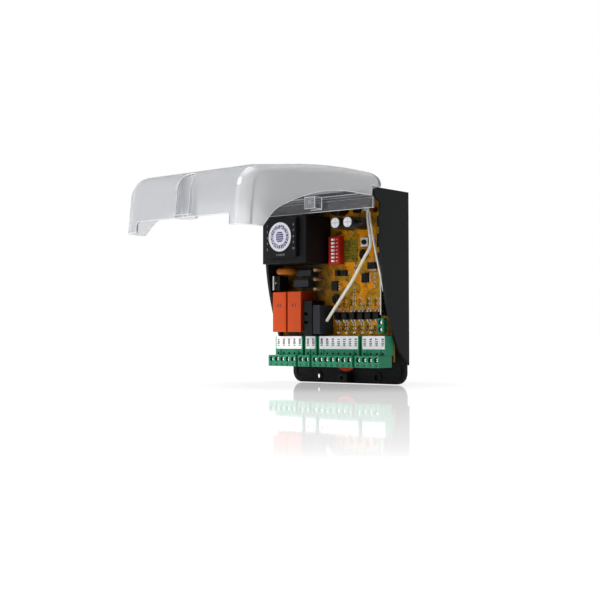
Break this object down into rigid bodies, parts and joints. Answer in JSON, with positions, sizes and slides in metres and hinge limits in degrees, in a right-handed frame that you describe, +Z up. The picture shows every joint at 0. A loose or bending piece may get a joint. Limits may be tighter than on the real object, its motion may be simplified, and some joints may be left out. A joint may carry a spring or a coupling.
{
  "type": "gate control panel",
  "caption": "Wall-mounted gate control panel: black case with circuit board, relays, transformer and plug-in terminals under a hinged clear cover.",
  "frame": {"origin": "centre of the case's flat back face, where it lies on the wall", "axes": "+X to the right seen from the front, +Y into the wall, +Z up; the cover is open at rest"},
  "size_m": [0.105, 0.1695, 0.1449],
  "materials": {
    "case_black": "fine textured black moulding",
    "cover_clear": "clear moulded polycarbonate",
    "board_amber": "amber solder mask with white print",
    "component_black": "black moulded component cases",
    "relay_orange": "orange relay housings",
    "terminal_green": "green terminal plastic",
    "label_white": "white printed label",
    "screw_steel": "plated screws",
    "screw_black": "blackened board screws",
    "pin_tin": "tinned pins",
    "dip_red": "red switch housing",
    "switch_white": "white sliders",
    "varistor_amber": "amber dipped disc",
    "resistor_beige": "lacquered resistor bodies",
    "can_sleeve": "dark capacitor sleeves",
    "can_aluminium": "scored aluminium can tops",
    "button_steel": "button's metal frame",
    "led_clear": "small light emitters",
    "copper_coil": "wound coil",
    "wire_white": "white wire sheath",
    "grommet_red": "red-orange rubber bung",
    "board_green": "receiver card",
    "triac_metal": "metal tab"
  },
  "bodies": {
    "case": {"antenna_coil": "copper_coil", "antenna_connector": "switch_white", "antenna_sleeve": "wire_white", "antenna_wire_1": "wire_white", "antenna_wire_2": "wire_white", "aux_screws": "screw_steel", "aux_terminal": "terminal_green", "back_case": "case_black", "board_screws": "screw_black", "button_base": "component_black", "button_frame": "button_steel", "cable_grommet": "grommet_red", "capacitor_sleeves": "can_sleeve", "capacitor_tops": "can_aluminium", "chip_pins": "pin_tin", "chips": "component_black", "dip_switch_body": "dip_red", "edge_parts": "component_black", "film_capacitors": "component_black", "fuse_holder": "component_black", "header_1": "terminal_green", "header_2": "terminal_green", "header_3": "terminal_green", "header_4": "terminal_green", "header_contacts": "pin_tin", "main_board": "board_amber", "optocouplers": "component_black", "receiver_card": "board_green", "receiver_socket": "component_black", "relay_1": "relay_orange", "relay_2": "relay_orange", "round_choke": "component_black", "slim_relay": "component_black", "small_parts": "resistor_beige", "standing_resistors": "resistor_beige", "status_leds": "led_clear", "terminal_labels": "label_white", "transformer_block": "component_black", "transformer_core": "component_black", "transformer_sticker": "label_white", "triac": "component_black", "triac_tab": "triac_metal", "varistor": "varistor_amber"},
    "cover": {"cover": "cover_clear"},
    "plug_1": {"plug_1": "terminal_green", "plug_screws_1": "screw_steel"},
    "plug_2": {"plug_2": "terminal_green", "plug_screws_2": "screw_steel"},
    "plug_3": {"plug_3": "terminal_green", "plug_screws_3": "screw_steel"},
    "plug_4": {"plug_4": "terminal_green", "plug_screws_4": "screw_steel"},
    "dip_slider_1": {"dip_slider_1": "switch_white"},
    "dip_slider_2": {"dip_slider_2": "switch_white"},
    "dip_slider_3": {"dip_slider_3": "switch_white"},
    "dip_slider_4": {"dip_slider_4": "switch_white"},
    "dip_slider_5": {"dip_slider_5": "switch_white"},
    "dip_slider_6": {"dip_slider_6": "switch_white"},
    "dip_slider_7": {"dip_slider_7": "switch_white"},
    "button": {"button_plunger": "switch_white"}
  },
  "joints": [
    {"name": "cover_hinge", "type": "hinge", "parent": "case", "child": "cover", "pos_m": [0, -0.036, 0.0632], "axis": [1, 0, 0], "range_deg": [0, 91]},
    {"name": "plug_1_pull", "type": "slide", "parent": "case", "child": "plug_1", "axis": [0, 0, 1], "range_m": [-0.007, 0]},
    {"name": "plug_2_pull", "type": "slide", "parent": "case", "child": "plug_2", "axis": [0, 0, 1], "range_m": [-0.007, 0]},
    {"name": "plug_3_pull", "type": "slide", "parent": "case", "child": "plug_3", "axis": [0, 0, 1], "range_m": [-0.007, 0]},
    {"name": "plug_4_pull", "type": "slide", "parent": "case", "child": "plug_4", "axis": [0, 0, 1], "range_m": [-0.007, 0]},
    {"name": "dip_slider_1_slide", "type": "slide", "parent": "case", "child": "dip_slider_1", "axis": [1, 0, 0], "range_m": [0, 0.0018]},
    {"name": "dip_slider_2_slide", "type": "slide", "parent": "case", "child": "dip_slider_2", "axis": [1, 0, 0], "range_m": [0, 0.0018]},
    {"name": "dip_slider_3_slide", "type": "slide", "parent": "case", "child": "dip_slider_3", "axis": [1, 0, 0], "range_m": [0, 0.0018]},
    {"name": "dip_slider_4_slide", "type": "slide", "parent": "case", "child": "dip_slider_4", "axis": [1, 0, 0], "range_m": [0, 0.0018]},
    {"name": "dip_slider_5_slide", "type": "slide", "parent": "case", "child": "dip_slider_5", "axis": [1, 0, 0], "range_m": [0, 0.0018]},
    {"name": "dip_slider_6_slide", "type": "slide", "parent": "case", "child": "dip_slider_6", "axis": [1, 0, 0], "range_m": [0, 0.0018]},
    {"name": "dip_slider_7_slide", "type": "slide", "parent": "case", "child": "dip_slider_7", "axis": [1, 0, 0], "range_m": [0, 0.0018]},
    {"name": "button_press", "type": "slide", "parent": "case", "child": "button", "axis": [0, 1, 0], "range_m": [0, 0.0003], "stiffness_N_per_m": 400, "springref_m": -0.0005}
  ]
}
